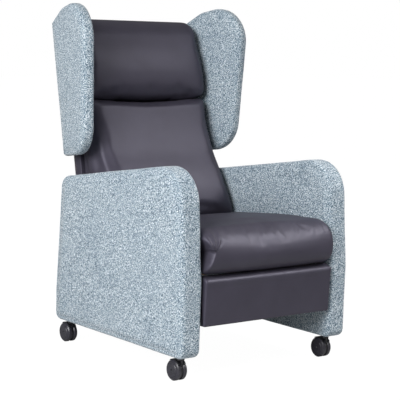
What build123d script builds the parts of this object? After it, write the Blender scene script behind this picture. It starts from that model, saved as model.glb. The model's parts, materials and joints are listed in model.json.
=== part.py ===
"""Wing-back patient recliner chair on four twin-wheel casters, in millimetres.

The chair faces -Y, +Z is up, and X = 0 is its plane of symmetry.  The origin is the middle of
the footprint, on the floor.  Side profiles are drawn on side(x): depth behind the front of the
arm panels, then height.  Profiles of the back are drawn on lean_side(x): distance forward of
the back's rear face, then distance up the back from its lower edge.
"""
import os
from math import cos, radians, sin

from build123d import *

os.makedirs("parts", exist_ok=True)

# ---- overall and arm panels ----------------------------------------------------------------
OVERALL_WIDTH = 700
FRONT_Y = -427.8            # front plane of the arm panels, so that the footprint is centred
ARM_THICKNESS = 75
ARM_INNER = OVERALL_WIDTH / 2 - ARM_THICKNESS
ARM_MIDDLE = OVERALL_WIDTH / 2 - ARM_THICKNESS / 2
ARM_BOTTOM = 83
ARM_DEPTH = 768
ARM_OUTLINE = [(0, 83), (-3, 330), (26, 703), (738, 600), (768, 190), (768, 83)]
ARM_CORNERS = [28, 400, 118, 46, 300, 28]
ARM_EDGE = 17
BOARD_OUTLINE = [(40, 133), (40, 520), (120, 640), (700, 558), (728, 450), (728, 133)]
BOARD_THICKNESS = 18
BASE_RAIL_WIDTH = 45
BASE_RAIL_HEIGHT = 50

# ---- seat ----------------------------------------------------------------------------------
SEAT_HALF = 271
SEAT_OUTLINE = [
    (18, 378), (18, 345), (-8, 345), (-28, 372), (-28, 440), (-8, 484), (114, 487),
    (312, 474), (489, 460), (489, 378),
]
SEAT_CORNERS = [3, 4, 14, 30, 40, 32, 200, 200, 14, 4]
SEAT_EDGE = 12
SEAT_FRAME_HALF = 255
SEAT_FRAME_BOTTOM = 345
SEAT_FRAME_TOP = 372
SEAT_FRAME_FRONT = 22
SEAT_FRAME_REAR = 484
SEAT_RAIL = 28
SPRING_RADIUS = 1.8
SPRING_COUNT = 5
SPRING_SPACING = 88
SPRING_SWING = 18
SPRING_PITCH = 24
BRACKET_DEPTHS = (215, 430)
BRACKET_WIDTH = 30

# ---- back ----------------------------------------------------------------------------------
BACK_TILT = 11              # degrees from vertical
BACK_FOOT = (726.5, 330)    # depth and height of the rear face's lower edge
BACK_HALF = 266             # half width over the frame's stiles
BACK_SKIN = 9
BACK_FRAME = 36
FRAME_BOTTOM = 20           # lower end of the stiles, up the back
PANEL_CORNER = 8
FRAME_TOP = 790
RAIL_HEIGHT = 60
CUSHION_HALF = 258
CUSHION_OUTLINE = [
    (45, 92), (140, 66), (238, 74), (250, 100), (238, 175), (204, 261), (172, 327),
    (145, 434), (134, 535.5), (45, 535.5),
]
HEADREST_OUTLINE = [
    (45, 536.5), (134, 536.5), (139, 600), (131, 707), (108, 796), (62, 838), (0, 838),
    (0, 791), (45, 791),
]

# ---- wings: forward along the wing from the back's rear face, then up the back ---------------
WING_FLARE = 10             # degrees outwards
WING_THICKNESS = 44
WING_ROOT = BACK_HALF + WING_THICKNESS / 2
WING_EDGE = 17
WING_OUTLINE = [(0, 342), (198, 331), (331, 861), (104, 861), (0, 828)]
WING_CORNERS = [6, 110, 126, 120, 16]
WING_BOARD = 12
WING_BOARD_OUTLINE = [
    (12, 372), (100, 372), (172, 450), (230, 640), (245, 750), (195, 808), (95, 815), (12, 796),
]
WING_BOLTS = (430, 565, 700)      # heights up the back, clear of the upper rail

# ---- footrest panel ------------------------------------------------------------------------
PANEL_FRONT = -14
PANEL_HALF = 268
PANEL_BOTTOM = 181
PANEL_TOP = 338
PAD_BACK = 22
PANEL_BOARD_FRONT = 8
PANEL_BOARD_BACK = 28
PANEL_RIM = 8
BRACKET_OUTLINE = [(28, 240), (40, 250), (57, 290), (44, 310), (28, 318)]

# ---- steel linkage, in layers from each arm inwards -------------------------------------------
STEEL = 4
PLATE_LAYER = 271           # inner face of the plates on the arms
OUTER_LAYER = 266           # back arms and rear links
INNER_LAYER = 260           # front links and drive rods
TAB_LAYER = 254             # footrest brackets
RUNNING = 0.05              # radial clearance of every running pivot
CLEAR = 0.3                 # side clearance between a head and the layer beside it
PIN_START = INNER_LAYER - CLEAR - 2.7
PIVOT_RADIUS = 6
PIN_RADIUS = 5
CRANK_RADIUS = 4
CRANK_SLOT = 11.5          # radius of the rod's loose eye, which lets its end wander
HEAD = 2.5
THIN_HEAD = 1.5             # of pins beside a running layer
HEAD_RIM = 3                # radial width of a pin head outside its shank

BACK_PIVOT = (560, 400)
LINK_PIVOT = (95, 300)
LINK_END = (114.6, 186.7)
PANEL_PIVOT = (44, 296)
CRANK = (116.1, 283.2)
DRIVE = (560, 320)
TUBE = (102.7, 255.7)
BACK_ARM_BOLTS = ((716, 456), (731, 512))
PLATE_SCREWS = ((205, 323.7), (310, 346.2), (415, 368.8))
SCREW_RADIUS = 3
CROSS_RAILS = (("front", 170, 150), ("rear", 650, 120))    # end, depth, height
CROSS_RAIL_SECTION = (25, 50)

# ---- casters -------------------------------------------------------------------------------
WHEEL_RADIUS = 34
WHEEL_THICKNESS = 17
WHEEL_GAP = 8
CASTER_TRAIL = 20
CASTER_DEPTHS = (("front", 55), ("rear", 717))
STEM_RADIUS = 5.5
STEM_FOOT = 70
HOOD_TOP = 78.7
AXLE_RADIUS = 4
SOCKET_RADIUS = 9
SOCKET_DEPTH = 42
FLANGE = 2
FLANGE_RADIUS = 14
COLLAR_RADIUS = 11

SIDES = (("left", -1), ("right", 1))
CORNERS = [
    (end, depth, name, sign) for end, depth in CASTER_DEPTHS for name, sign in SIDES
]


def side(x):
    """Vertical plane at x: depth, then height; normal +X."""
    return Plane(origin=(x, FRONT_Y, 0), x_dir=(0, 1, 0), z_dir=(1, 0, 0))


def level(height):
    """Horizontal plane: X, then depth; normal +Z."""
    return Plane(origin=(0, FRONT_Y, height), x_dir=(1, 0, 0), z_dir=(0, 0, 1))


LEAN = radians(BACK_TILT)
AHEAD = Vector(0, -cos(LEAN), sin(LEAN))
UP_BACK = Vector(0, sin(LEAN), cos(LEAN))
FOOT = Vector(0, FRONT_Y + BACK_FOOT[0], BACK_FOOT[1])


def lean_side(x):
    """Plane at x that leans with the back: forward, then up the back; normal -X."""
    return Plane(origin=FOOT + Vector(x, 0, 0), x_dir=AHEAD, z_dir=AHEAD.cross(UP_BACK))


def lean_front(forward):
    """Plane parallel to the back, forward of its rear face: X, then up the back; faces ahead."""
    return Plane(origin=FOOT + AHEAD * forward, x_dir=(1, 0, 0), z_dir=AHEAD)


def wing_plane(sign):
    """Middle plane of a wing: forward along the wing, then up the back."""
    flare = radians(WING_FLARE)
    forward = AHEAD * cos(flare) + Vector(sign * sin(flare), 0, 0)
    root = FOOT + Vector(sign * WING_ROOT, 0, 0)
    return Plane(origin=root, x_dir=forward, z_dir=forward.cross(UP_BACK))


def start_x(sign, inner, outer):
    """Lower X of a slab between two distances from the plane of symmetry."""
    return inner if sign > 0 else -outer


def rod(sign, inner, outer, centre, radius, mode=Mode.ADD):
    """Round bar along X between two distances from the plane of symmetry, or a hole."""
    with BuildSketch(side(start_x(sign, inner, outer))) as section:
        with Locations(centre):
            Circle(radius)
    extrude(section.sketch, amount=outer - inner, mode=mode)


def block(sign, x_span, depth_span, height_span):
    """Rectangular block on one side of the plane of symmetry."""
    with BuildSketch(side(start_x(sign, *x_span))) as section:
        middle = (sum(depth_span) / 2, sum(height_span) / 2)
        with Locations(middle):
            Rectangle(depth_span[1] - depth_span[0], height_span[1] - height_span[0])
    extrude(section.sketch, amount=x_span[1] - x_span[0])


def outline(points, radii=None):
    """Closed polygon whose corners are rounded, each by its own radius where one is given."""
    with BuildLine() as rim:
        if radii is None:
            Polyline(*points, close=True)
        else:
            FilletPolyline(*points, radius=radii, close=True)
    make_face(rim.edges())


def link(sign, layer, circles, holes):
    """Steel plate in one layer: the hull of circles, with holes."""
    with BuildSketch(side(start_x(sign, layer, layer + STEEL))) as section:
        for centre, radius in circles:
            with Locations(centre):
                Circle(radius)
        make_hull()
        for centre, radius in holes:
            with Locations(centre):
                Circle(radius, mode=Mode.SUBTRACT)
    extrude(section.sketch, amount=STEEL)


def headed_pin(sign, inner, outer, centre, radius, head, head_outside=False):
    """Pin along X with a head of the given thickness at its inner end, or at its outer end."""
    rod(sign, inner, outer, centre, radius)
    if head_outside:
        rod(sign, outer - head, outer, centre, radius + HEAD_RIM)
    else:
        rod(sign, inner, inner + head, centre, radius + HEAD_RIM)


# ---- arms ----------------------------------------------------------------------------------
with BuildPart() as sockets:
    for end, depth, name, sign in CORNERS:
        with BuildSketch(level(ARM_BOTTOM)):
            with Locations((sign * ARM_MIDDLE, depth)):
                Circle(SOCKET_RADIUS)
                Circle(STEM_RADIUS, mode=Mode.SUBTRACT)
        extrude(amount=SOCKET_DEPTH)
        with BuildSketch(level(ARM_BOTTOM - FLANGE)):
            with Locations((sign * ARM_MIDDLE, depth)):
                Circle(FLANGE_RADIUS)
                Circle(STEM_RADIUS, mode=Mode.SUBTRACT)
        extrude(amount=FLANGE)
sockets.part.label = "caster_sockets"
export_step(sockets.part, "parts/caster_sockets.step")

with BuildPart() as stems:
    for end, depth, name, sign in CORNERS:
        with BuildSketch(level(STEM_FOOT)):
            with Locations((sign * ARM_MIDDLE, depth)):
                Circle(STEM_RADIUS)
        extrude(amount=ARM_BOTTOM + SOCKET_DEPTH - 2 - STEM_FOOT)
        with BuildSketch(level(HOOD_TOP + CLEAR)):
            with Locations((sign * ARM_MIDDLE, depth)):
                Circle(COLLAR_RADIUS)
        extrude(amount=ARM_BOTTOM - FLANGE - HOOD_TOP - CLEAR)
stems.part.label = "caster_stems"
export_step(stems.part, "parts/caster_stems.step")

with BuildPart() as screws:
    for name, sign in SIDES:
        for centre in PLATE_SCREWS:
            rod(sign, PLATE_LAYER - HEAD, ARM_MIDDLE + 6, centre, SCREW_RADIUS)
            rod(sign, PLATE_LAYER - HEAD, PLATE_LAYER, centre, 2 * SCREW_RADIUS)
screws.part.label = "mechanism_screws"
export_step(screws.part, "parts/mechanism_screws.step")

for name, sign in SIDES:
    with BuildPart() as base_rail:
        half = BASE_RAIL_WIDTH / 2
        block(
            sign,
            (ARM_MIDDLE - half, ARM_MIDDLE + half),
            (30, ARM_DEPTH - 30),
            (ARM_BOTTOM, ARM_BOTTOM + BASE_RAIL_HEIGHT),
        )
        add(sockets.part, mode=Mode.SUBTRACT)
        add(stems.part, mode=Mode.SUBTRACT)
    base_rail.part.label = f"{name}_base_rail"
    export_step(base_rail.part, f"parts/{name}_base_rail.step")

    with BuildPart() as arm_board:
        inner = ARM_MIDDLE - BOARD_THICKNESS / 2
        with BuildSketch(side(start_x(sign, inner, inner + BOARD_THICKNESS))):
            outline(BOARD_OUTLINE)
        extrude(amount=BOARD_THICKNESS)
        add(screws.part, mode=Mode.SUBTRACT)
    arm_board.part.label = f"{name}_arm_board"
    export_step(arm_board.part, f"parts/{name}_arm_board.step")

    with BuildPart() as arm_cover:
        with BuildSketch(side(start_x(sign, ARM_INNER, ARM_INNER + ARM_THICKNESS))):
            outline(ARM_OUTLINE, ARM_CORNERS)
        extrude(amount=ARM_THICKNESS)
        fillet(arm_cover.faces().filter_by(Axis.X).edges(), ARM_EDGE)
        add(arm_board.part, mode=Mode.SUBTRACT)
        add(base_rail.part, mode=Mode.SUBTRACT)
        add(sockets.part, mode=Mode.SUBTRACT)
        add(stems.part, mode=Mode.SUBTRACT)
        add(screws.part, mode=Mode.SUBTRACT)
    arm_cover.part.label = f"{name}_arm_cover"
    export_step(arm_cover.part, f"parts/{name}_arm_cover.step")

    with BuildPart() as mechanism_plate:
        link(sign, PLATE_LAYER, [(LINK_PIVOT, 20), (BACK_PIVOT, 26)], [])
        add(screws.part, mode=Mode.SUBTRACT)
    mechanism_plate.part.label = f"{name}_mechanism_plate"
    export_step(mechanism_plate.part, f"parts/{name}_mechanism_plate.step")

# ---- cross rails and seat frame ---------------------------------------------------------------
for end, depth, height in CROSS_RAILS:
    with BuildPart() as cross_rail:
        with BuildSketch(side(-ARM_INNER)):
            thick, tall = CROSS_RAIL_SECTION
            with Locations((depth + thick / 2, height + tall / 2)):
                RectangleRounded(thick, tall, 3)
        extrude(amount=2 * ARM_INNER)
    cross_rail.part.label = f"{end}_cross_rail"
    export_step(cross_rail.part, f"parts/{end}_cross_rail.step")

for name, sign in SIDES:
    with BuildPart() as seat_side_rail:
        block(
            sign,
            (SEAT_FRAME_HALF - SEAT_RAIL, SEAT_FRAME_HALF),
            (SEAT_FRAME_FRONT, SEAT_FRAME_REAR),
            (SEAT_FRAME_BOTTOM, SEAT_FRAME_TOP),
        )
    seat_side_rail.part.label = f"seat_{name}_rail"
    export_step(seat_side_rail.part, f"parts/seat_{name}_rail.step")

for end, depth in (("front", SEAT_FRAME_FRONT), ("rear", SEAT_FRAME_REAR - SEAT_RAIL)):
    with BuildPart() as seat_end_rail:
        half = SEAT_FRAME_HALF - SEAT_RAIL
        with BuildSketch(side(-half)):
            with Locations((depth + SEAT_RAIL / 2, (SEAT_FRAME_BOTTOM + SEAT_FRAME_TOP) / 2)):
                Rectangle(SEAT_RAIL, SEAT_FRAME_TOP - SEAT_FRAME_BOTTOM)
        extrude(amount=2 * half)
    seat_end_rail.part.label = f"seat_{end}_rail"
    export_step(seat_end_rail.part, f"parts/seat_{end}_rail.step")

with BuildPart() as seat_brackets:
    for name, sign in SIDES:
        for depth in BRACKET_DEPTHS:
            span = (depth, depth + BRACKET_WIDTH)
            block(sign, (SEAT_FRAME_HALF, PLATE_LAYER), span, (362, 366))
            block(sign, (SEAT_FRAME_HALF, SEAT_FRAME_HALF + 3), span, (348, 362))
seat_brackets.part.label = "seat_brackets"
export_step(seat_brackets.part, "parts/seat_brackets.step")

SPRING_HEIGHT = SEAT_FRAME_TOP + SPRING_RADIUS + 0.2
SPRING_START = SEAT_FRAME_FRONT + SEAT_RAIL / 2
SPRING_END = SEAT_FRAME_REAR - SEAT_RAIL / 2
SPRING_XS = [
    (index - (SPRING_COUNT - 1) / 2) * SPRING_SPACING for index in range(SPRING_COUNT)
]

with BuildPart() as springs:
    turns = int((SPRING_END - SPRING_START) / SPRING_PITCH)
    pitch = (SPRING_END - SPRING_START) / turns
    for middle in SPRING_XS:
        route = [(middle - SPRING_SWING, FRONT_Y + SPRING_START, SPRING_HEIGHT)]
        for turn in range(turns):
            swing = SPRING_SWING if turn % 2 == 0 else -SPRING_SWING
            depth = FRONT_Y + SPRING_START + turn * pitch
            route.append((middle + swing, depth, SPRING_HEIGHT))
            route.append((middle + swing, depth + pitch, SPRING_HEIGHT))
        swing = SPRING_SWING if turns % 2 == 0 else -SPRING_SWING
        route.append((middle + swing, FRONT_Y + SPRING_END, SPRING_HEIGHT))
        with BuildLine() as wire:
            FilletPolyline(*route, radius=SPRING_PITCH / 2 - 2)
        with BuildSketch(Plane(origin=route[0], z_dir=(1, 0, 0))):
            Circle(SPRING_RADIUS)
        sweep(path=wire.line)
springs.part.label = "seat_springs"
export_step(springs.part, "parts/seat_springs.step")

with BuildPart() as clips:
    for middle in SPRING_XS:
        for depth in (SPRING_START, SPRING_END):
            with BuildSketch(Plane(origin=(middle - 7, FRONT_Y + depth, SEAT_FRAME_TOP),
                                   x_dir=(0, 1, 0), z_dir=(1, 0, 0))):
                Rectangle(18, 5.2, align=(Align.CENTER, Align.MIN))
                Rectangle(4.4, 4, align=(Align.CENTER, Align.MIN), mode=Mode.SUBTRACT)
            extrude(amount=14)
clips.part.label = "spring_clips"
export_step(clips.part, "parts/spring_clips.step")

with BuildPart() as seat_cushion:
    with BuildSketch(side(-SEAT_HALF)):
        outline(SEAT_OUTLINE, SEAT_CORNERS)
    extrude(amount=2 * SEAT_HALF)
    fillet(seat_cushion.faces().filter_by(Axis.X).edges(), 2.5)
seat_cushion.part.label = "seat_cushion"
export_step(seat_cushion.part, "parts/seat_cushion.step")

with BuildPart() as pivot_pins:
    for name, sign in SIDES:
        for centre in (BACK_PIVOT, LINK_PIVOT):
            inner = OUTER_LAYER - CLEAR - THIN_HEAD
            headed_pin(sign, inner, PLATE_LAYER, centre, PIVOT_RADIUS, THIN_HEAD)
pivot_pins.part.label = "mechanism_pivot_pins"
export_step(pivot_pins.part, "parts/mechanism_pivot_pins.step")

# ---- back ------------------------------------------------------------------------------------
with BuildPart() as back_arm_bolts:
    for name, sign in SIDES:
        for centre in BACK_ARM_BOLTS:
            rod(sign, BACK_HALF - BACK_FRAME, OUTER_LAYER + STEEL, centre, 4)
            rod(sign, OUTER_LAYER + STEEL, OUTER_LAYER + STEEL + HEAD, centre, 8)
back_arm_bolts.part.label = "back_arm_bolts"
export_step(back_arm_bolts.part, "parts/back_arm_bolts.step")

with BuildPart() as wing_bolts:
    for name, sign in SIDES:
        for height in WING_BOLTS:
            inner = BACK_HALF - BACK_FRAME - 5
            with BuildSketch(lean_side(sign * inner)):
                with Locations((BACK_SKIN + BACK_FRAME / 2, height)):
                    Circle(4)
            extrude(amount=-sign * (WING_ROOT + 8 - inner))
            with BuildSketch(lean_side(sign * inner)):
                with Locations((BACK_SKIN + BACK_FRAME / 2, height)):
                    Circle(8)
            extrude(amount=-sign * 5)
wing_bolts.part.label = "wing_bolts"
export_step(wing_bolts.part, "parts/wing_bolts.step")

for name, sign in SIDES:
    with BuildPart() as stile:
        inner = BACK_HALF - BACK_FRAME
        with BuildSketch(lean_side(sign * inner)):
            with Locations((BACK_SKIN + BACK_FRAME / 2, (FRAME_BOTTOM + FRAME_TOP) / 2)):
                Rectangle(BACK_FRAME, FRAME_TOP - FRAME_BOTTOM)
        extrude(amount=-sign * BACK_FRAME)
        add(back_arm_bolts.part, mode=Mode.SUBTRACT)
        add(wing_bolts.part, mode=Mode.SUBTRACT)
    stile.part.label = f"back_{name}_stile"
    export_step(stile.part, f"parts/back_{name}_stile.step")

for end, foot in (("lower", FRAME_BOTTOM), ("upper", FRAME_TOP - RAIL_HEIGHT)):
    with BuildPart() as back_rail:
        half = BACK_HALF - BACK_FRAME
        with BuildSketch(lean_front(BACK_SKIN)):
            with Locations((0, foot + RAIL_HEIGHT / 2)):
                Rectangle(2 * half, RAIL_HEIGHT)
        extrude(amount=BACK_FRAME)
    back_rail.part.label = f"back_{end}_rail"
    export_step(back_rail.part, f"parts/back_{end}_rail.step")

with BuildPart() as rear_panel:
    with BuildSketch(lean_front(0)):
        with Locations((0, FRAME_TOP / 2)):
            RectangleRounded(2 * BACK_HALF, FRAME_TOP, PANEL_CORNER)
    extrude(amount=BACK_SKIN)
rear_panel.part.label = "back_rear_panel"
export_step(rear_panel.part, "parts/back_rear_panel.step")

with BuildPart() as back_cushion:
    with BuildSketch(lean_side(CUSHION_HALF)):
        outline(CUSHION_OUTLINE, [3, 20, 12, 20, 60, 80, 80, 100, 10, 3])
    extrude(amount=2 * CUSHION_HALF)
    fillet(back_cushion.faces().filter_by(Axis.X).edges(), 2.5)
back_cushion.part.label = "back_cushion"
export_step(back_cushion.part, "parts/back_cushion.step")

with BuildPart() as headrest:
    with BuildSketch(lean_side(CUSHION_HALF)):
        outline(HEADREST_OUTLINE, [3, 10, 60, 80, 30, 26, 26, 1, 0.3])
    extrude(amount=2 * CUSHION_HALF)
    fillet(headrest.faces().filter_by(Axis.X).edges(), 2.5)
headrest.part.label = "headrest_cushion"
export_step(headrest.part, "parts/headrest_cushion.step")

for name, sign in SIDES:
    plane = wing_plane(sign)
    with BuildPart() as wing_board:
        with BuildSketch(plane.offset(-WING_BOARD / 2)):
            outline(WING_BOARD_OUTLINE)
        extrude(amount=WING_BOARD)
        add(wing_bolts.part, mode=Mode.SUBTRACT)
    wing_board.part.label = f"{name}_wing_board"
    export_step(wing_board.part, f"parts/{name}_wing_board.step")

    with BuildPart() as wing:
        with BuildSketch(plane.offset(-WING_THICKNESS / 2)):
            outline(WING_OUTLINE, WING_CORNERS)
        extrude(amount=WING_THICKNESS)
        fillet(wing.faces().sort_by(SortBy.AREA)[-2:].edges(), WING_EDGE)
        add(wing_board.part, mode=Mode.SUBTRACT)
        add(wing_bolts.part, mode=Mode.SUBTRACT)
    wing.part.label = f"{name}_wing"
    export_step(wing.part, f"parts/{name}_wing.step")

    with BuildPart() as back_arm:
        corners = [(DRIVE, 13), (BACK_PIVOT, 22)]
        corners += [(centre, 13) for centre in BACK_ARM_BOLTS]
        holes = [(DRIVE, PIN_RADIUS), (BACK_PIVOT, PIVOT_RADIUS + RUNNING)]
        link(sign, OUTER_LAYER, corners, holes)
        add(back_arm_bolts.part, mode=Mode.SUBTRACT)
    back_arm.part.label = f"{name}_back_arm"
    export_step(back_arm.part, f"parts/{name}_back_arm.step")

with BuildPart() as drive_pins:
    for name, sign in SIDES:
        headed_pin(sign, PIN_START, OUTER_LAYER + STEEL, DRIVE, PIN_RADIUS, HEAD)
drive_pins.part.label = "drive_pins"
export_step(drive_pins.part, "parts/drive_pins.step")

# ---- linkage ---------------------------------------------------------------------------------
with BuildPart() as drive_rods:
    for name, sign in SIDES:
        link(sign, INNER_LAYER, [(DRIVE, 9), (CRANK, 9)], [])
        for centre, radius in ((DRIVE, 12), (CRANK, 16)):
            rod(sign, INNER_LAYER, INNER_LAYER + STEEL, centre, radius)
        for centre, radius in ((DRIVE, PIN_RADIUS + RUNNING), (CRANK, CRANK_SLOT)):
            rod(sign, INNER_LAYER, INNER_LAYER + STEEL, centre, radius, Mode.SUBTRACT)
drive_rods.part.label = "drive_rods"
export_step(drive_rods.part, "parts/drive_rods.step")

for name, sign in SIDES:
    with BuildPart() as rear_link:
        corners = [(LINK_PIVOT, 13), (LINK_END, 12), (CRANK, 10)]
        holes = [(LINK_PIVOT, PIVOT_RADIUS + RUNNING)]
        holes += [(LINK_END, PIN_RADIUS), (CRANK, CRANK_RADIUS)]
        link(sign, OUTER_LAYER, corners, holes)
    rear_link.part.label = f"{name}_rear_link"
    export_step(rear_link.part, f"parts/{name}_rear_link.step")

with BuildPart() as front_links:
    for name, sign in SIDES:
        holes = [(LINK_END, PIN_RADIUS + RUNNING), (PANEL_PIVOT, PIN_RADIUS + RUNNING)]
        link(sign, INNER_LAYER, [(LINK_END, 11), (PANEL_PIVOT, 11)], holes)
front_links.part.label = "front_links"
export_step(front_links.part, "parts/front_links.step")

with BuildPart() as torque_tube:
    with BuildSketch(side(-OUTER_LAYER)):
        with Locations(TUBE):
            Circle(9)
            Circle(7, mode=Mode.SUBTRACT)
    extrude(amount=2 * OUTER_LAYER)
torque_tube.part.label = "link_torque_tube"
export_step(torque_tube.part, "parts/link_torque_tube.step")

with BuildPart() as link_pins:
    for name, sign in SIDES:
        headed_pin(sign, PIN_START, OUTER_LAYER + STEEL, LINK_END, PIN_RADIUS, HEAD)
        rod(sign, INNER_LAYER, OUTER_LAYER + STEEL, CRANK, CRANK_RADIUS)
link_pins.part.label = "link_pins"
export_step(link_pins.part, "parts/link_pins.step")

# ---- footrest ----------------------------------------------------------------------------------
with BuildPart() as footrest_board:
    half = PANEL_HALF - PANEL_RIM
    with BuildSketch(side(-half)):
        with Locations((
            (PANEL_BOARD_FRONT + PANEL_BOARD_BACK) / 2,
            (PANEL_BOTTOM + PANEL_TOP) / 2,
        )):
            Rectangle(
                PANEL_BOARD_BACK - PANEL_BOARD_FRONT,
                PANEL_TOP - PANEL_BOTTOM - 2 * PANEL_RIM,
            )
    extrude(amount=2 * half)
footrest_board.part.label = "footrest_board"
export_step(footrest_board.part, "parts/footrest_board.step")

with BuildPart() as footrest_pad:
    with BuildSketch(side(-PANEL_HALF)):
        outline(
            [
                (PAD_BACK, PANEL_BOTTOM), (PANEL_FRONT + 8, PANEL_BOTTOM),
                (PANEL_FRONT, PANEL_TOP), (PAD_BACK, PANEL_TOP),
            ],
            [2, 8, 12, 2],
        )
    extrude(amount=2 * PANEL_HALF)
    fillet(footrest_pad.faces().filter_by(Axis.X).edges(), 1.5)
    add(footrest_board.part, mode=Mode.SUBTRACT)
footrest_pad.part.label = "footrest_pad"
export_step(footrest_pad.part, "parts/footrest_pad.step")

with BuildPart() as footrest_brackets:
    for name, sign in SIDES:
        layer = start_x(sign, TAB_LAYER, TAB_LAYER + STEEL)
        with BuildSketch(side(layer)):
            outline(BRACKET_OUTLINE)
            with Locations(PANEL_PIVOT):
                Circle(13)
                Circle(PIN_RADIUS, mode=Mode.SUBTRACT)
        extrude(amount=STEEL)
        block(
            sign,
            (TAB_LAYER - 26, TAB_LAYER),
            (PANEL_BOARD_BACK, PANEL_BOARD_BACK + STEEL),
            (BRACKET_OUTLINE[0][1], BRACKET_OUTLINE[-1][1]),
        )
footrest_brackets.part.label = "footrest_brackets"
export_step(footrest_brackets.part, "parts/footrest_brackets.step")

with BuildPart() as footrest_pins:
    for name, sign in SIDES:
        headed_pin(sign, TAB_LAYER, OUTER_LAYER - CLEAR, PANEL_PIVOT, PIN_RADIUS, THIN_HEAD, True)
footrest_pins.part.label = "footrest_pins"
export_step(footrest_pins.part, "parts/footrest_pins.step")

# ---- casters -------------------------------------------------------------------------------------
for end, depth, name, sign in CORNERS:
    middle = sign * ARM_MIDDLE
    axle_centre = (depth + CASTER_TRAIL, WHEEL_RADIUS)
    inner = WHEEL_GAP / 2
    outer = inner + WHEEL_THICKNESS

    with BuildPart() as axle:
        with BuildSketch(side(middle - outer + 3)):
            with Locations(axle_centre):
                Circle(AXLE_RADIUS)
        extrude(amount=2 * (outer - 3))
    axle.part.label = f"caster_{end}_{name}_axle"
    export_step(axle.part, f"parts/caster_{end}_{name}_axle.step")

    with BuildPart() as hood:
        with BuildSketch(side(middle - inner + 0.4)):
            with Locations(axle_centre):
                Circle(WHEEL_RADIUS - 4)
            with Locations((depth + 5, HOOD_TOP - 14)):
                Rectangle(26, 26)
        extrude(amount=2 * (inner - 0.4))
        with BuildSketch(side(middle - 15)):
            with Locations(axle_centre):
                Circle(WHEEL_RADIUS + 3.5)
                Circle(WHEEL_RADIUS + 1, mode=Mode.SUBTRACT)
            with Locations((axle_centre[0] - 8, WHEEL_RADIUS + 40)):
                Rectangle(52, 34, mode=Mode.INTERSECT)
        extrude(amount=30)
        with BuildSketch(level(WHEEL_RADIUS + 35.5)):
            with Locations((middle, depth)):
                Circle(12.5)
        extrude(amount=HOOD_TOP - WHEEL_RADIUS - 35.5)
        with BuildSketch(level(STEM_FOOT - CLEAR)):
            with Locations((middle, depth)):
                Circle(STEM_RADIUS + RUNNING)
        extrude(amount=10, mode=Mode.SUBTRACT)
        with BuildSketch(side(middle - outer)):
            with Locations(axle_centre):
                Circle(AXLE_RADIUS + RUNNING)
        extrude(amount=2 * outer, mode=Mode.SUBTRACT)
    hood.part.label = f"caster_{end}_{name}_hood"
    export_step(hood.part, f"parts/caster_{end}_{name}_hood.step")

    with BuildPart() as wheels:
        for way in (-1, 1):
            profile_plane = Plane(
                origin=(middle, FRONT_Y + axle_centre[0], WHEEL_RADIUS),
                x_dir=(way, 0, 0),
                z_dir=(0, -way, 0),
            )
            with BuildSketch(profile_plane) as profile:
                with BuildLine():
                    Polyline(
                        (inner, AXLE_RADIUS), (outer, AXLE_RADIUS), (outer, 22),
                        (outer - 1.2, 23.2), (outer - 1.2, 25), (outer - 0.5, 26.5),
                        (outer - 2.5, 31), (outer - 6, WHEEL_RADIUS),
                        (inner + 2, WHEEL_RADIUS), (inner, WHEEL_RADIUS - 2), close=True,
                    )
                make_face()
            revolve(axis=Axis((middle, FRONT_Y + axle_centre[0], WHEEL_RADIUS), (1, 0, 0)))
        add(axle.part, mode=Mode.SUBTRACT)
    wheels.part.label = f"caster_{end}_{name}_wheels"
    export_step(wheels.part, f"parts/caster_{end}_{name}_wheels.step")
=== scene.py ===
"""Looks of a wing-back patient recliner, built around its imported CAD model, in metres."""

import json
from math import atan2, cos, pi, radians, sin, sqrt, tan

import bmesh
import bpy
from mathutils import Matrix, Vector, noise


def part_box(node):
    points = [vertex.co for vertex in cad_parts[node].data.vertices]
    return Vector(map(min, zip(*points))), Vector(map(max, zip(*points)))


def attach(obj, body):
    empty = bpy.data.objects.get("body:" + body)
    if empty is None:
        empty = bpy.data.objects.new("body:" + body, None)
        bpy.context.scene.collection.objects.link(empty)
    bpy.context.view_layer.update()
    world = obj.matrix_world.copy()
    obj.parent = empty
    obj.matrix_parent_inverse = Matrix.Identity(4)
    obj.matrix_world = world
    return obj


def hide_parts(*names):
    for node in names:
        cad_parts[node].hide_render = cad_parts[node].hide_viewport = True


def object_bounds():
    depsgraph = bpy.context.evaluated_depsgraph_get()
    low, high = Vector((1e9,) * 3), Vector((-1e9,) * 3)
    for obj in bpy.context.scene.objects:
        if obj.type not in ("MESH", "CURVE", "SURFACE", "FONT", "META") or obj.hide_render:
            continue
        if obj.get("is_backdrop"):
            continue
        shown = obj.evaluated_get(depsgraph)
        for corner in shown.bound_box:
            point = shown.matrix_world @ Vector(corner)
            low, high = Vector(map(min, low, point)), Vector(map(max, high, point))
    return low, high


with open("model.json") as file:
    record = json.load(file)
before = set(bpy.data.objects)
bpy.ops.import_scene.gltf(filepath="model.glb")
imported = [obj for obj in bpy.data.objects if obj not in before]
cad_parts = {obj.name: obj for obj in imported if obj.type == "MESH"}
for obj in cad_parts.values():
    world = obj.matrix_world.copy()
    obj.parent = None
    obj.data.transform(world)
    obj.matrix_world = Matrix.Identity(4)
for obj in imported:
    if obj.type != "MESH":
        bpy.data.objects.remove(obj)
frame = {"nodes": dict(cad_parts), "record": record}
CAD_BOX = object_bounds()

MM = 0.001
SIDES = (("left", -1), ("right", 1))

# ---- places and sizes ---------------------------------------------------------------------------
ARM_LOW, ARM_HIGH = (Vector(corner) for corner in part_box("right_arm_cover"))
ARM_BULGE = 2.8 * MM          # the arm panels' curved front stands this far ahead of FRONT_Y
FRONT_Y = ARM_LOW.y + ARM_BULGE
ARM_HALF = (ARM_HIGH.x - ARM_LOW.x) / 2
ARM_MIDDLE = (ARM_HIGH.x + ARM_LOW.x) / 2

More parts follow.
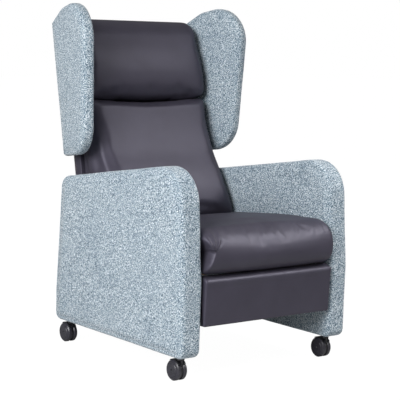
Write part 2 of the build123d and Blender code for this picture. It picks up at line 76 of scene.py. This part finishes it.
# The back leans, so its pieces are drawn ahead of, and up, its rear face, from its foot.
LEAN = radians(11)
AHEAD = Vector((0, -cos(LEAN), sin(LEAN)))
UP_BACK = Vector((0, sin(LEAN), cos(LEAN)))
FOOT = Vector((0, FRONT_Y + 726.5 * MM, 330 * MM))
WING_FLARE = radians(10)
WING_ROOT = 288 * MM          # from the middle of the chair to the middle of a wing's rear edge
CUSHION_HALF = 258 * MM
COVER_HALF = 267.5 * MM       # the back's cover, which wraps round the frame's stiles
SEAT_HALF = 272 * MM
FOOTREST_HALF = 268 * MM


# ---- outlines -----------------------------------------------------------------------------------
def rounded(corners, radii, step=0.006):
    """Closed outline of a polygon in millimetres with rounded corners, as points in metres."""
    points = [Vector(c) * MM for c in corners]
    count = len(points)
    rim = []
    for i, corner in enumerate(points):
        before, after = points[i - 1], points[(i + 1) % count]
        a, b = (before - corner).normalized(), (after - corner).normalized()
        half = a.angle(b) / 2
        radius = radii[i] * MM
        reach = radius / tan(half)
        start, end = corner + a * reach, corner + b * reach
        centre = corner + (a + b).normalized() * (radius / sin(half))
        turn = pi - 2 * half
        steps = max(2, int(turn * radius / step) + 1, int(turn / 0.2))
        first = atan2(start.y - centre.y, start.x - centre.x)
        sweep = atan2(end.y - centre.y, end.x - centre.x) - first
        sweep = (sweep + pi) % (2 * pi) - pi
        for k in range(steps + 1):
            angle = first + sweep * k / steps
            rim.append(centre + Vector((cos(angle), sin(angle))) * radius)
    dense = []
    for i, point in enumerate(rim):
        gap = rim[(i + 1) % len(rim)] - point
        steps = max(1, round(gap.length / step))
        dense += [point + gap * (k / steps) for k in range(steps)]
    return dense


def inset_outline(rim, distance):
    """The outline moved inwards along its normals."""
    count = len(rim)
    area = sum(rim[i - 1].x * rim[i].y - rim[i].x * rim[i - 1].y for i in range(count))
    way = 1 if area > 0 else -1
    moved = []
    for i, point in enumerate(rim):
        tangent = (rim[(i + 1) % count] - rim[i - 1]).normalized()
        moved.append(point + Vector((-tangent.y, tangent.x)) * (way * distance))
    return moved


def smooth(value):
    """Soft step from 0 to 1 as value goes from 0 to 1."""
    value = min(max(value, 0.0), 1.0)
    return value * value * (3 - 2 * value)


def bump(value, centre, width):
    """A smooth hill of height 1 at centre that ends width away from it."""
    return smooth(1 - abs(value - centre) / width)


EDGE_STEPS = 7                # mesh rows round a slab's soft edge
EDGE_SQUARENESS = 2.4         # 2 is a round edge, more is fuller
SPAN = 12 * MM                # mesh rows across a slab
FACE_FALL = 2.2               # how late a crowned face falls off towards its rim


def padded_slab(name, rim, half, edge, place, crown=0.0, seam=0.0, rings=16):
    """Upholstered slab: the outline swept across 2 x half with soft edges and crowned faces.

    place(u, v, w) gives the point for outline coordinates (u, v) and distance w across. A seam
    is a groove of that depth round both faces, and rings is the number of mesh rows in a face.
    """
    stations = []
    for k in range(EDGE_STEPS + 1):
        angle = pi / 2 * k / EDGE_STEPS
        inset = edge * (1 - abs(sin(angle)) ** (2 / EDGE_SQUARENESS))
        across = half - edge * (1 - abs(cos(angle)) ** (2 / EDGE_SQUARENESS))
        stations.append((inset, across))
    spans = max(2, round(2 * (half - edge) / SPAN))
    middle = [(0.0, (half - edge) * (1 - 2 * k / spans)) for k in range(1, spans)]
    stations = stations + middle + [(inset, -across) for inset, across in reversed(stations)]

    centre = sum(rim, Vector((0, 0))) / len(rim)
    loops = []
    face = inset_outline(rim, edge + 2 * MM)

    def face_loop(share, way):
        lift = crown * (1 - share ** FACE_FALL)
        return [(centre + (p - centre) * share, way * (half + lift)) for p in face]

    loops += [face_loop(k / rings, 1) for k in range(1, rings + 1)]
    for index, (inset, across) in enumerate(stations):
        groove = seam if index in (0, len(stations) - 1) else 0.0
        loops.append([
            (p, across - groove * (1 if across > 0 else -1))
            for p in inset_outline(rim, inset + groove * 0.4)
        ])
    loops += [face_loop(k / rings, -1) for k in range(rings, 0, -1)]

    count = len(rim)
    vertices = [place(centre.x, centre.y, half + crown)]
    for loop in loops:
        vertices += [place(p.x, p.y, w) for p, w in loop]
    vertices.append(place(centre.x, centre.y, -half - crown))
    faces = [(0, 1 + i, 1 + (i + 1) % count) for i in range(count)]
    for k in range(len(loops) - 1):
        row, below = 1 + k * count, 1 + (k + 1) * count
        for i in range(count):
            j = (i + 1) % count
            faces.append((row + i, below + i, below + j, row + j))
    last = 1 + (len(loops) - 1) * count
    end = len(vertices) - 1
    faces += [(end, last + (i + 1) % count, last + i) for i in range(count)]
    mesh = bpy.data.meshes.new(name)
    mesh.from_pydata([tuple(v) for v in vertices], [], faces)
    piece = bpy.data.objects.new(name, mesh)
    bpy.context.collection.objects.link(piece)
    tidy_mesh(piece)
    return piece


def tidy_mesh(piece):
    """Welded points, outward normals and smooth shading."""
    made = bmesh.new()
    made.from_mesh(piece.data)
    bmesh.ops.remove_doubles(made, verts=made.verts, dist=1e-5)
    bmesh.ops.recalc_face_normals(made, faces=made.faces)
    made.to_mesh(piece.data)
    made.free()
    piece.data.polygons.foreach_set("use_smooth", [True] * len(piece.data.polygons))
    piece.data.update()


def displace(piece, height):
    """Move each vertex along its normal by height(point)."""
    moves = [(v.index, v.normal * height(v.co)) for v in piece.data.vertices]
    for index, move in moves:
        piece.data.vertices[index].co += move
    piece.data.update()


def warp(piece, move):
    """Move each vertex by move(point)."""
    for vertex in piece.data.vertices:
        vertex.co += move(vertex.co.copy())
    piece.data.update()


def apply_modifiers(piece):
    """Put the modifiers' result in the piece's own mesh, smooth-shaded."""
    bpy.context.view_layer.update()
    graph = bpy.context.evaluated_depsgraph_get()
    final = bpy.data.meshes.new_from_object(piece.evaluated_get(graph))
    piece.modifiers.clear()
    piece.data = final
    final.polygons.foreach_set("use_smooth", [True] * len(final.polygons))


VOXEL = 6 * MM                # mesh size of a cushion that is inflated
INFLATE_FRAMES = 20


def inflate(piece, cap, weight):
    """Swell a closed cushion as cloth under pressure, then smooth and subdivide it.

    No point moves further than cap, and weight(point) scales each point's move, so that a
    face that rests on the frame stays flat.
    """
    modifier = piece.modifiers.new("remesh", "REMESH")
    modifier.mode = "VOXEL"
    modifier.voxel_size = VOXEL
    apply_modifiers(piece)
    rest = [v.co.copy() for v in piece.data.vertices]
    cloth = piece.modifiers.new("cloth", "CLOTH")
    settings = cloth.settings
    settings.quality = 4
    settings.mass = 0.4
    settings.tension_stiffness = 20
    settings.compression_stiffness = 20
    settings.shear_stiffness = 8
    settings.bending_stiffness = 1.0
    settings.use_pressure = True
    settings.uniform_pressure_force = 4.0
    settings.effector_weights.gravity = 0
    cloth.point_cache.frame_start = 1
    cloth.point_cache.frame_end = INFLATE_FRAMES
    for step in range(1, INFLATE_FRAMES + 1):
        bpy.context.scene.frame_set(step)
    apply_modifiers(piece)
    bpy.context.scene.frame_set(1)
    for vertex, start in zip(piece.data.vertices, rest):
        move = vertex.co - start
        if move.length > cap:
            move = move.normalized() * cap
        vertex.co = start + move * weight(start)
    relax = piece.modifiers.new("relax", "SMOOTH")
    relax.factor = 0.5
    relax.iterations = 10
    finer = piece.modifiers.new("finer", "SUBSURF")
    finer.levels = finer.render_levels = 1
    apply_modifiers(piece)


# ---- materials ----------------------------------------------------------------------------------
def node_material(name):
    """A new material with its node tree and its shader."""
    material = bpy.data.materials.new(name)
    material.use_nodes = True
    tree = material.node_tree
    shader = next(n for n in tree.nodes if n.type == "BSDF_PRINCIPLED")
    return material, tree, shader


def link_nodes(tree, source, output, target, socket):
    tree.links.new(source.outputs[output], target.inputs[socket])


def add_noise(tree, scale, detail=3.0, roughness=0.6, stretch=None):
    """3-D noise on object coordinates; stretch scales the coordinates per axis."""
    coordinates = tree.nodes.new("ShaderNodeTexCoord")
    texture = tree.nodes.new("ShaderNodeTexNoise")
    texture.inputs["Scale"].default_value = scale
    texture.inputs["Detail"].default_value = detail
    texture.inputs["Roughness"].default_value = roughness
    if stretch:
        mapping = tree.nodes.new("ShaderNodeMapping")
        mapping.inputs["Scale"].default_value = stretch
        link_nodes(tree, coordinates, "Object", mapping, "Vector")
        link_nodes(tree, mapping, "Vector", texture, "Vector")
    else:
        link_nodes(tree, coordinates, "Object", texture, "Vector")
    return texture


def add_ramp(tree, source, stops):
    """Colours along the source's Fac; stops are (position, colour)."""
    ramp = tree.nodes.new("ShaderNodeValToRGB")
    elements = ramp.color_ramp.elements
    while len(elements) < len(stops):
        elements.new(0.5)
    for element, (position, colour) in zip(elements, stops):
        element.position = position
        element.color = (*colour, 1)
    link_nodes(tree, source, "Fac", ramp, "Fac")
    return ramp


def multiply_colours(tree, first, second, share):
    """The first colour output, multiplied by the second to the given share."""
    mix = tree.nodes.new("ShaderNodeMix")
    mix.data_type = "RGBA"
    mix.blend_type = "MULTIPLY"
    colour_a, colour_b = (s for s in mix.inputs if s.type == "RGBA")
    mix.inputs[0].default_value = share
    tree.links.new(first, colour_a)
    tree.links.new(second, colour_b)
    return next(s for s in mix.outputs if s.type == "RGBA")


def add_bump(tree, shader, layers):
    """Chain of bumps: (height output, strength, distance)."""
    previous = None
    for height, strength, distance in layers:
        node = tree.nodes.new("ShaderNodeBump")
        node.inputs["Strength"].default_value = strength
        node.inputs["Distance"].default_value = distance
        tree.links.new(height, node.inputs["Height"])
        if previous:
            tree.links.new(previous, node.inputs["Normal"])
        previous = node.outputs["Normal"]
    tree.links.new(previous, shader.inputs["Normal"])


def tweed():
    """Blue-grey melange: flecks of pale, mid and dark yarn on a diagonal weave."""
    material, tree, shader = node_material("tweed")
    flecks = add_noise(tree, 300, 2.0, 0.75)
    yarns = add_ramp(tree, flecks, [
        (0.38, (0.030, 0.062, 0.096)),
        (0.46, (0.155, 0.220, 0.270)),
        (0.53, (0.375, 0.448, 0.500)),
        (0.61, (0.780, 0.815, 0.840)),
    ])
    strands = add_noise(tree, 170, 3.0, 0.7, (1.0, 1.0, 2.2))
    tint = add_ramp(tree, strands, [
        (0.36, (0.52, 0.60, 0.68)),
        (0.50, (0.90, 0.94, 0.97)),
        (0.64, (1.22, 1.20, 1.18)),
    ])
    colour = multiply_colours(tree, yarns.outputs[0], tint.outputs[0], 0.85)
    drift = add_noise(tree, 7, 2.0)
    shade = add_ramp(tree, drift, [(0.3, (0.93, 0.94, 0.95)), (0.7, (1.04, 1.03, 1.02))])
    colour = multiply_colours(tree, colour, shade.outputs[0], 1.0)
    tree.links.new(colour, shader.inputs["Base Color"])
    shader.inputs["Roughness"].default_value = 0.92
    shader.inputs["Specular IOR Level"].default_value = 0.2
    shader.inputs["Sheen Weight"].default_value = 0.25
    shader.inputs["Sheen Roughness"].default_value = 0.5
    coordinates = tree.nodes.new("ShaderNodeTexCoord")
    layers = []
    for turn in (0.78, -0.78):
        mapping = tree.nodes.new("ShaderNodeMapping")
        mapping.inputs["Rotation"].default_value = (turn, 0.3 * turn, 0)
        link_nodes(tree, coordinates, "Object", mapping, "Vector")
        wave = tree.nodes.new("ShaderNodeTexWave")
        wave.bands_direction = "Z"
        wave.inputs["Scale"].default_value = 110
        wave.inputs["Distortion"].default_value = 2.5
        wave.inputs["Detail"].default_value = 2
        wave.inputs["Detail Scale"].default_value = 3
        link_nodes(tree, mapping, "Vector", wave, "Vector")
        layers.append((wave.outputs["Fac"], 0.30, 0.0006))
    layers.append((flecks.outputs["Fac"], 0.45, 0.0010))
    add_bump(tree, shader, layers)
    return material


def leatherette():
    """Charcoal artificial leather: fine pebble grain, satin, a little uneven in gloss."""
    base = (0.040, 0.0365, 0.052)
    material, tree, shader = node_material("leatherette")
    drift = add_noise(tree, 9, 3.0)
    dark = tuple(c * 0.90 for c in base)
    light = tuple(c * 1.10 for c in base)
    colour = add_ramp(tree, drift, [(0.3, dark), (0.7, light)])
    tree.links.new(colour.outputs[0], shader.inputs["Base Color"])
    wear = add_noise(tree, 22, 4.0)
    gloss = tree.nodes.new("ShaderNodeMapRange")
    gloss.inputs["To Min"].default_value = 0.44
    gloss.inputs["To Max"].default_value = 0.54
    link_nodes(tree, wear, "Fac", gloss, "Value")
    link_nodes(tree, gloss, "Result", shader, "Roughness")
    shader.inputs["Specular IOR Level"].default_value = 0.45
    shader.inputs["Specular Tint"].default_value = (0.84, 0.81, 1.0, 1)
    shader.inputs["Coat Weight"].default_value = 0.03
    shader.inputs["Coat Roughness"].default_value = 0.35
    coordinates = tree.nodes.new("ShaderNodeTexCoord")
    grain = tree.nodes.new("ShaderNodeTexVoronoi")
    grain.feature = "DISTANCE_TO_EDGE"
    grain.inputs["Scale"].default_value = 620
    link_nodes(tree, coordinates, "Object", grain, "Vector")
    creases = add_noise(tree, 120, 5.0, 0.65)
    add_bump(tree, shader, [
        (grain.outputs["Distance"], 0.16, 0.0004),
        (creases.outputs["Fac"], 0.10, 0.0008),
    ])
    return material


def timber(name, light, dark, stretch):
    """Planed wood: grain lines that run along one direction."""
    material, tree, shader = node_material(name)
    rings = add_noise(tree, 14, 6.0, 0.6, stretch)
    colour = add_ramp(tree, rings, [(0.35, dark), (0.5, light), (0.62, dark)])
    tree.links.new(colour.outputs[0], shader.inputs["Base Color"])
    shader.inputs["Roughness"].default_value = 0.62
    add_bump(tree, shader, [(rings.outputs["Fac"], 0.15, 0.0006)])
    return material


def metal(name, base, rough):
    """Zinc-plated or drawn steel with faint brushing."""
    material, tree, shader = node_material(name)
    brushing = add_noise(tree, 60, 4.0, 0.6, (1.0, 9.0, 1.0))
    dark = tuple(c * 0.82 for c in base)
    colour = add_ramp(tree, brushing, [(0.3, dark), (0.7, base)])
    tree.links.new(colour.outputs[0], shader.inputs["Base Color"])
    shader.inputs["Metallic"].default_value = 1.0
    shader.inputs["Roughness"].default_value = rough
    add_bump(tree, shader, [(brushing.outputs["Fac"], 0.08, 0.0003)])
    return material


def moulded(name, base, rough):
    """Moulded black plastic with a fine spark-eroded texture and slightly paler patches."""
    material, tree, shader = node_material(name)
    drift = add_noise(tree, 40, 3.0)
    light = tuple(c * 1.5 for c in base)
    colour = add_ramp(tree, drift, [(0.35, base), (0.75, light)])
    tree.links.new(colour.outputs[0], shader.inputs["Base Color"])
    shader.inputs["Roughness"].default_value = rough
    spark = add_noise(tree, 900, 2.0)
    add_bump(tree, shader, [(spark.outputs["Fac"], 0.08, 0.0002)])
    return material


SLOT_MATERIALS = {
    "tweed": tweed(),
    "leatherette": leatherette(),
    "plywood": timber("plywood", (0.62, 0.47, 0.30), (0.44, 0.31, 0.18), (6, 1, 9)),
    "hardwood": timber("hardwood", (0.52, 0.36, 0.22), (0.36, 0.23, 0.13), (8, 1, 8)),
    "steel": metal("steel", (0.48, 0.49, 0.51), 0.34),
    "spring_wire": metal("spring_wire", (0.26, 0.27, 0.29), 0.42),
    "caster_plastic": moulded("caster_plastic", (0.010, 0.010, 0.012), 0.38),
    "caster_tread": moulded("caster_tread", (0.020, 0.019, 0.026), 0.36),
}
NODE_SLOTS = {s["node"]: s["material_slot"] for s in frame["record"]["subparts"]}
for node_name, cad_object in frame["nodes"].items():
    node_look = SLOT_MATERIALS[NODE_SLOTS[node_name]]
    if cad_object.material_slots:
        for material_slot in cad_object.material_slots:
            material_slot.material = node_look
    else:
        cad_object.data.materials.append(node_look)


def dress(piece, slot, body, fill, *nodes):
    """Give a padded piece its material slot and its body, and hide the nodes it replaces; fill is
    not used.
    """
    piece.data.materials.clear()
    piece.data.materials.append(SLOT_MATERIALS[slot])
    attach(piece, body)
    if nodes:
        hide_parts(*nodes)


def ripple(point, size, seed=0.0):
    """Soft noise between -1 and 1 with features of the given size."""
    return noise.noise(point / size + Vector((seed, seed * 0.7, -seed)))


def share_across(point, half):
    """0 at the middle of the chair, 1 at the side of a piece of that half width."""
    return min(abs(point.x) / half, 1.0)


# ---- side panels --------------------------------------------------------------------------------
# Outlines are in millimetres, with the radius of each corner below them.
ARM_OUTLINE = [(0, 81), (-4, 330), (25, 703), (738, 600), (770, 190), (770, 81)]
ARM_CORNERS = [28, 400, 118, 46, 300, 28]


def side_place(x):
    """Outline coordinates that run rearwards from FRONT_Y and up from the floor, about x."""
    def place(u, v, w):
        return Vector((x + w, FRONT_Y + u, v))
    return place


def panel_relief(seed):
    """The fabric's slight unevenness, with a seed for each side."""
    def height(point):
        soft = 0.0009 * ripple(point, 0.16, seed) + 0.0004 * ripple(point, 0.05, seed)
        return soft - 0.0006
    return height


for side, sign in SIDES:
    panel = padded_slab(
        f"{side}_side_panel",
        rounded(ARM_OUTLINE, ARM_CORNERS),
        ARM_HALF + 1.5 * MM, 17 * MM, side_place(sign * ARM_MIDDLE), seam=2.0 * MM,
    )
    displace(panel, panel_relief(3.0 + sign))
    dress(panel, "tweed", "base", 0.8, f"{side}_arm_cover")

# ---- wings --------------------------------------------------------------------------------------
WING_OUTLINE = [(0, 340), (198, 329), (330, 860), (105, 860), (0, 826)]
WING_CORNERS = [14, 115, 126, 110, 14]


def wing_place(sign):
    """Outline coordinates that run along the flared wing and up the back."""
    forward = AHEAD * cos(WING_FLARE) + Vector((sign * sin(WING_FLARE), 0, 0))
    outward = Vector((sign * cos(WING_FLARE), 0, 0)) - AHEAD * sin(WING_FLARE)
    root = FOOT + Vector((sign * WING_ROOT, 0, 0))

    def place(u, v, w):
        return root + forward * u + UP_BACK * v + outward * w
    return place


for side, sign in SIDES:
    wing = padded_slab(
        f"{side}_wing_pad",
        rounded(WING_OUTLINE, WING_CORNERS),
        22 * MM, 18 * MM, wing_place(sign), crown=3 * MM, seam=1.8 * MM,
    )
    displace(wing, lambda p: 0.0008 * ripple(p, 0.11, 9.0) - 0.0004)
    dress(wing, "tweed", "back", 0.75, f"{side}_wing")


# ---- back ---------------------------------------------------------------------------------------
SEAM_DIP = 12 * MM            # sag of the line between back cushion and headrest, at the middle


def back_place(u, v, w):
    """Outline coordinates that run forward from the back's rear face and up the back."""
    return FOOT + AHEAD * u + UP_BACK * v + Vector((w, 0, 0))


def along_back(point):
    """Distance forward of the rear face and up the back."""
    offset = point - FOOT
    return offset.dot(AHEAD), offset.dot(UP_BACK)


COVER_OUTLINE = [(9, 19), (46, 19), (46, 800), (9, 800)]
frame_cover = padded_slab(
    "back_side_cover",
    rounded(COVER_OUTLINE, [3, 6, 6, 3]),
    COVER_HALF, 4 * MM, back_place,
)
displace(frame_cover, lambda p: 0.0005 * ripple(p, 0.10, 12.0))
dress(frame_cover, "leatherette", "back", 0.95)

CUSHION_OUTLINE = [
    (45, 92), (140, 66), (234, 76), (246, 102), (233, 175), (199, 261), (168, 327),
    (141, 434), (130, 535), (45, 535),
]
CUSHION_CORNERS = [3, 20, 18, 24, 340, 900, 340, 650, 22, 3]
back_cushion = padded_slab(
    "back_cushion_cover",
    rounded(CUSHION_OUTLINE, CUSHION_CORNERS),
    CUSHION_HALF + 1 * MM, 18 * MM, back_place,
)


def ahead_of_frame(point):
    """0 at the frame, 1 at the front of the back's cushions."""
    return smooth((along_back(point)[0] - 0.05) / 0.05)


inflate(back_cushion, 9 * MM, ahead_of_frame)


def back_relief(point):
    """Crown and lumbar hollow of the back cushion, with its sagging upper edge."""
    forward, up = along_back(point)
    across = share_across(point, CUSHION_HALF)
    front = smooth((forward - 0.07) / 0.05)
    crown = 0.004 * (1 - across ** 2.5) * bump(up, 0.33, 0.26)
    hollow = -0.003 * (1 - across ** 2) * bump(up, 0.16, 0.10)
    soft = 0.0010 * ripple(point, 0.12, 5.0)
    dip = -SEAM_DIP * (1 - across ** 2) * smooth((up - 0.44) / 0.095)
    return AHEAD * ((crown + hollow + soft) * front) + UP_BACK * dip


warp(back_cushion, back_relief)
dress(back_cushion, "leatherette", "back", 0.7, "back_cushion")

HEADREST_OUTLINE = [
    (47, 537), (130, 537), (136, 600), (128, 705), (104, 790), (60, 834), (0, 834),
    (0, 801), (47, 801),
]
HEADREST_CORNERS = [6, 24, 400, 400, 110, 60, 16, 3, 3]
headrest = padded_slab(
    "headrest_cover",
    rounded(HEADREST_OUTLINE, HEADREST_CORNERS),
    CUSHION_HALF + 3 * MM, 20 * MM, back_place,
)
inflate(headrest, 9 * MM, ahead_of_frame)


def headrest_relief(point):
    """Crown of the headrest, its sagging lower edge and the small folds at that edge's ends."""
    forward, up = along_back(point)
    across = share_across(point, CUSHION_HALF)
    front = smooth((forward - 0.06) / 0.05)
    crown = (0.003 + 0.007 * (1 - across ** 3)) * bump(up, 0.63, 0.13)
    soft = 0.0010 * ripple(point, 0.12, 6.0)
    dip = -SEAM_DIP * (1 - across ** 2) * smooth((0.63 - up) / 0.093)
    pinch = 0.0016 * sin(point.x / 0.011 + 3 * ripple(point, 0.05)) * bump(up, 0.555, 0.035)
    pinch *= smooth((across - 0.55) / 0.4)
    return AHEAD * ((crown + soft + pinch) * front) + UP_BACK * dip


warp(headrest, headrest_relief)
dress(headrest, "leatherette", "back", 0.85, "headrest_cushion")

REAR_HALF = 4.5 * MM          # half the thickness of the back's rear cover


def rear_place(u, v, w):
    """Outline coordinates that run to the right and up the back, on its rear face."""
    return FOOT + AHEAD * (REAR_HALF - w) + UP_BACK * v + Vector((u, 0, 0))


REAR_OUTLINE = [(-266, 0), (266, 0), (266, 790), (-266, 790)]
rear = padded_slab(
    "back_rear_cover",
    rounded(REAR_OUTLINE, [14] * 4, 12 * MM),
    REAR_HALF, 4 * MM, rear_place, rings=24,
)
displace(rear, lambda p: 0.0006 * ripple(p, 0.14, 2.0) - 0.0003)
dress(rear, "leatherette", "back", 0.9, "back_rear_panel")

# ---- seat ---------------------------------------------------------------------------------------
# The folded-in corner: heights of its foot, apex and top, then its width at the apex and depth.
TUCK_FOOT, TUCK_APEX, TUCK_TOP = 345 * MM, 421 * MM, 468 * MM
TUCK_WIDTH, TUCK_DEPTH = 28 * MM, 100 * MM
SEAT_OUTLINE = [
    (24, 378), (24, 344), (-30, 344), (-30, 486), (140, 487), (312, 474), (489, 460), (489, 378),
]
SEAT_CORNERS = [3, 6, 46, 74, 300, 300, 20, 6]
seat = padded_slab(
    "seat_cover",
    rounded(SEAT_OUTLINE, SEAT_CORNERS),
    SEAT_HALF, 22 * MM, side_place(0.0),
)


def above_rails(point):
    """0 at the seat frame's rails, 1 at the cushion's top and front."""
    front = smooth((FRONT_Y + 0.02 - point.y) / 0.02)
    return max(smooth((point.z - 0.385) / 0.03), front)


inflate(seat, 8 * MM, above_rails)


def seat_tuck(point):
    """Depth of the folded-in corner at the left end of the seat's front roll."""
    inwards = SEAT_HALF + point.x
    if point.z > TUCK_APEX:
        width = TUCK_WIDTH * (TUCK_TOP - point.z) / (TUCK_TOP - TUCK_APEX)
    else:
        width = TUCK_WIDTH * (point.z - TUCK_FOOT) / (TUCK_APEX - TUCK_FOOT)
    return TUCK_DEPTH * smooth((width - inwards) / 0.007)


def seat_pleats(point):
    """Small folds that run up and back from the tuck's apex."""
    across, up = point.x + SEAT_HALF - TUCK_WIDTH, point.z - TUCK_APEX
    reach = sqrt(across * across + up * up)
    way = atan2(up, across)
    fan = sin(13.0 * way + 1.2) * smooth((way - 0.5) / 0.5) * smooth((2.9 - way) / 0.3)
    return 0.0030 * fan * smooth(reach / 0.008) * smooth((0.075 - reach) / 0.04)


def seat_relief(point):
    """Crown of the seat, the gathers along its front roll and the folded-in corner."""
    depth = point.y - FRONT_Y
    across = share_across(point, SEAT_HALF)
    top = smooth((point.z - 0.43) / 0.04)
    front = smooth((0.05 - depth) / 0.05)
    crown = 0.007 * (1 - across ** 3) * top * bump(depth, 0.24, 0.30)
    gather = 0.0010 * sin(point.x / 0.0065 + 4.0 * ripple(point, 0.05, 1.0))
    gather *= bump(depth, 0.010, 0.055) * bump(point.z, 0.470, 0.05)
    gather *= 0.6 + 0.6 * ripple(Vector((point.x, 0, 0)), 0.09, 7.0)
    soft = 0.0012 * ripple(point, 0.10, 4.0)
    outwards = gather + soft + seat_pleats(point)
    return Vector((0, -(outwards - seat_tuck(point)) * front, crown + (soft + gather) * top))


warp(seat, seat_relief)
dress(seat, "leatherette", "base", 0.75, "seat_cushion")

# ---- footrest -----------------------------------------------------------------------------------
FOOTREST_OUTLINE = [(22, 181), (-6, 181), (-14, 334), (22, 345)]
FOOTREST_CORNERS = [3, 7, 15, 2]
footrest = padded_slab(
    "footrest_cover",
    rounded(FOOTREST_OUTLINE, FOOTREST_CORNERS, 4 * MM),
    FOOTREST_HALF, 8 * MM, side_place(0.0),
)


def footrest_relief(point):
    """Slight swell of the footrest's front, with a fuller roll along its upper edge."""
    across = share_across(point, FOOTREST_HALF)
    front = smooth((0.004 - (point.y - FRONT_Y)) / 0.012)
    swell = 0.003 * (1 - across ** 4) * bump(point.z, 0.27, 0.10)
    roll = 0.002 * bump(point.z, 0.325, 0.02)
    soft = 0.0006 * ripple(point, 0.09, 8.0)
    return Vector((0, -(swell + roll + soft) * front, 0))


warp(footrest, footrest_relief)
dress(footrest, "leatherette", "footrest", 0.8, "footrest_pad")


# ---- stage, light and camera --------------------------------------------------------------------
def camera_choice(tree, otherwise, seen):
    """One shader output for the camera's own rays, and another for all other rays."""
    paths = tree.nodes.new("ShaderNodeLightPath")
    choice = tree.nodes.new("ShaderNodeMixShader")
    tree.links.new(paths.outputs["Is Camera Ray"], choice.inputs[0])
    tree.links.new(otherwise, choice.inputs[1])
    tree.links.new(seen, choice.inputs[2])
    return choice.outputs[0]


def add_floor():
    """Pale floor: near white to the camera with faint shadows, mid grey to everything else."""
    size = 30
    corners = [(-size, -size, 0), (size, -size, 0), (size, size, 0), (-size, size, 0)]
    mesh = bpy.data.meshes.new("floor")
    mesh.from_pydata(corners, [], [(0, 1, 2, 3)])
    floor = bpy.data.objects.new("floor", mesh)
    bpy.context.collection.objects.link(floor)
    material, tree, shader = node_material("floor")
    shader.inputs["Base Color"].default_value = (0.55, 0.55, 0.55, 1)
    shader.inputs["Roughness"].default_value = 0.9
    glow = tree.nodes.new("ShaderNodeEmission")
    glow.inputs["Strength"].default_value = 1.12
    pale = tree.nodes.new("ShaderNodeMixShader")
    pale.inputs[0].default_value = 0.88
    tree.links.new(shader.outputs[0], pale.inputs[1])
    tree.links.new(glow.outputs[0], pale.inputs[2])
    surface = camera_choice(tree, shader.outputs[0], pale.outputs[0])
    output = next(n for n in tree.nodes if n.type == "OUTPUT_MATERIAL")
    tree.links.new(surface, output.inputs["Surface"])
    mesh.materials.append(material)
    floor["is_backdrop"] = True


def add_area(name, place, target, size, power, spread=180):
    """Square area light at place, turned to target; spread is its beam in degrees."""
    light = bpy.data.lights.new(name, "AREA")
    light.energy = power
    light.size = size
    light.spread = radians(spread)
    lamp = bpy.data.objects.new(name, light)
    lamp.location = place
    lamp.rotation_euler = (Vector(target) - Vector(place)).to_track_quat("-Z", "Y").to_euler()
    bpy.context.collection.objects.link(lamp)


def add_world(strength):
    """White studio: its light has this strength, and the camera sees it as plain white."""
    world = bpy.data.worlds.new("studio")
    world.use_nodes = True
    tree = world.node_tree
    background = tree.nodes["Background"]
    background.inputs["Color"].default_value = (1, 1, 1, 1)
    background.inputs["Strength"].default_value = strength
    backdrop = tree.nodes.new("ShaderNodeBackground")
    backdrop.inputs["Color"].default_value = (1, 1, 1, 1)
    backdrop.inputs["Strength"].default_value = 1.0
    surface = camera_choice(tree, background.outputs[0], backdrop.outputs[0])
    tree.links.new(surface, tree.nodes["World Output"].inputs["Surface"])
    bpy.context.scene.world = world


LENS = 119.6244               # focal length in millimetres, on a sensor 36 mm wide


def add_camera():
    """Camera to the front left of the chair, a little above it and slightly rolled."""
    azimuth, elevation, roll = radians(37.38), radians(6.71), radians(1.34)
    back = Vector((
        -sin(azimuth) * cos(elevation), -cos(azimuth) * cos(elevation), sin(elevation),
    ))
    right = Vector((cos(azimuth), -sin(azimuth), 0))
    up = back.cross(right)
    turned_right = right * cos(roll) + up * sin(roll)
    turned_up = up * cos(roll) - right * sin(roll)
    camera = bpy.data.objects.new("camera", bpy.data.cameras.new("camera"))
    basis = Matrix((turned_right, turned_up, back)).transposed().to_4x4()
    place = Vector((-2.80275, FRONT_Y - 3.28678, 1.07722))
    camera.matrix_world = Matrix.Translation(place) @ basis
    camera.data.sensor_width = 36
    camera.data.lens = LENS
    camera.data.clip_end = 100
    bpy.context.collection.objects.link(camera)
    bpy.context.scene.camera = camera


add_floor()
add_world(0.24)
add_area("key", (-3.6, -1.4, 2.4), (0, 0, 0.7), 2.2, 210)
add_area("front", (1.9, -2.8, 1.4), (0.3, 0.2, 0.5), 1.2, 0.9, spread=50)
add_area("top", (1.7, -1.7, 2.6), (0, -0.50, 0.36), 1.0, 6.0, spread=50)
add_camera()
bpy.context.scene.view_settings.view_transform = "Standard"

boxes = [[list(corner) for corner in box] for box in (CAD_BOX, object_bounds())]
